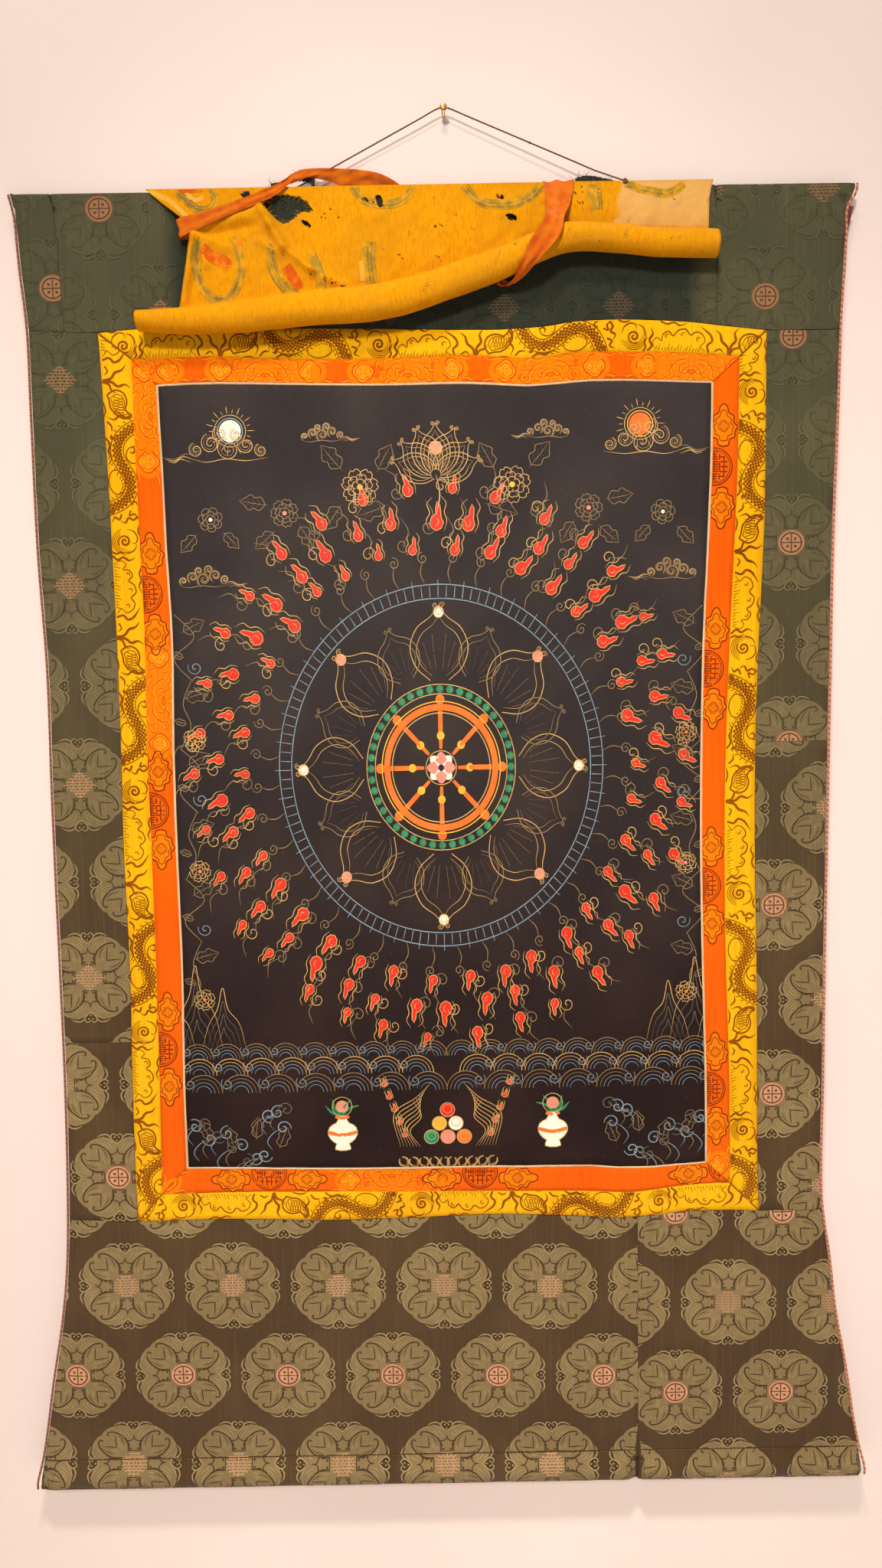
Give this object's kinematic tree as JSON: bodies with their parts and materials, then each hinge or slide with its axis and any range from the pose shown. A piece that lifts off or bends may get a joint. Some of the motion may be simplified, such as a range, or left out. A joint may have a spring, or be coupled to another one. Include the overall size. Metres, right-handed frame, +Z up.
{
  "type": "thangka scroll painting with wall pin",
  "caption": "Scroll painting in a dark damask mount with yellow and orange brocade borders, hung by a cord from a wall pin, its yellow veil rolled up over the top.",
  "frame": {"origin": "centre of the back end of the wall pin, on the wall", "axes": "+X right as seen from the front, +Y into the wall, +Z up"},
  "size_m": [1.0379, 0.0665, 1.653],
  "materials": {
    "cord_tab_left": "frayed cloth",
    "cord_tab_right": "frayed cloth",
    "edge_cord_left": "twisted cord",
    "edge_cord_right": "twisted cord",
    "fillet_foot": "satin",
    "fillet_left": "satin",
    "fillet_right": "satin",
    "fillet_top": "satin",
    "hanging_cord": "twine",
    "lining": "plain weave",
    "mount_foot_left": "damask",
    "mount_foot_right": "damask",
    "mount_left_lower": "damask",
    "mount_left_upper": "damask",
    "mount_right_lower": "damask",
    "mount_right_upper": "damask",
    "mount_top_centre": "damask",
    "mount_top_left": "damask",
    "mount_top_right": "damask",
    "orange_border_foot": "brocade",
    "orange_border_left": "brocade",
    "orange_border_right": "brocade",
    "orange_border_top": "brocade",
    "painting": "matt painted canvas",
    "ribbon_left": "thin silk",
    "ribbon_right": "thin silk",
    "veil": "thin silk",
    "yellow_border_foot": "brocade",
    "yellow_border_left": "brocade",
    "yellow_border_right": "brocade",
    "yellow_border_top": "brocade",
    "wall_pin": "worn"
  },
  "bodies": {
    "root": {"cord_tab_left": "cord_tab_left", "cord_tab_right": "cord_tab_right", "edge_cord_left": "edge_cord_left", "edge_cord_right": "edge_cord_right", "fillet_foot": "fillet_foot", "fillet_left": "fillet_left", "fillet_right": "fillet_right", "fillet_top": "fillet_top", "hanging_cord": "hanging_cord", "lining": "lining", "mount_foot_left": "mount_foot_left", "mount_foot_right": "mount_foot_right", "mount_left_lower": "mount_left_lower", "mount_left_upper": "mount_left_upper", "mount_right_lower": "mount_right_lower", "mount_right_upper": "mount_right_upper", "mount_top_centre": "mount_top_centre", "mount_top_left": "mount_top_left", "mount_top_right": "mount_top_right", "orange_border_foot": "orange_border_foot", "orange_border_left": "orange_border_left", "orange_border_right": "orange_border_right", "orange_border_top": "orange_border_top", "painting": "painting", "ribbon_left": "ribbon_left", "ribbon_right": "ribbon_right", "veil": "veil", "wall_pin": "wall_pin", "yellow_border_foot": "yellow_border_foot", "yellow_border_left": "yellow_border_left", "yellow_border_right": "yellow_border_right", "yellow_border_top": "yellow_border_top"}
  },
  "joints": []
}
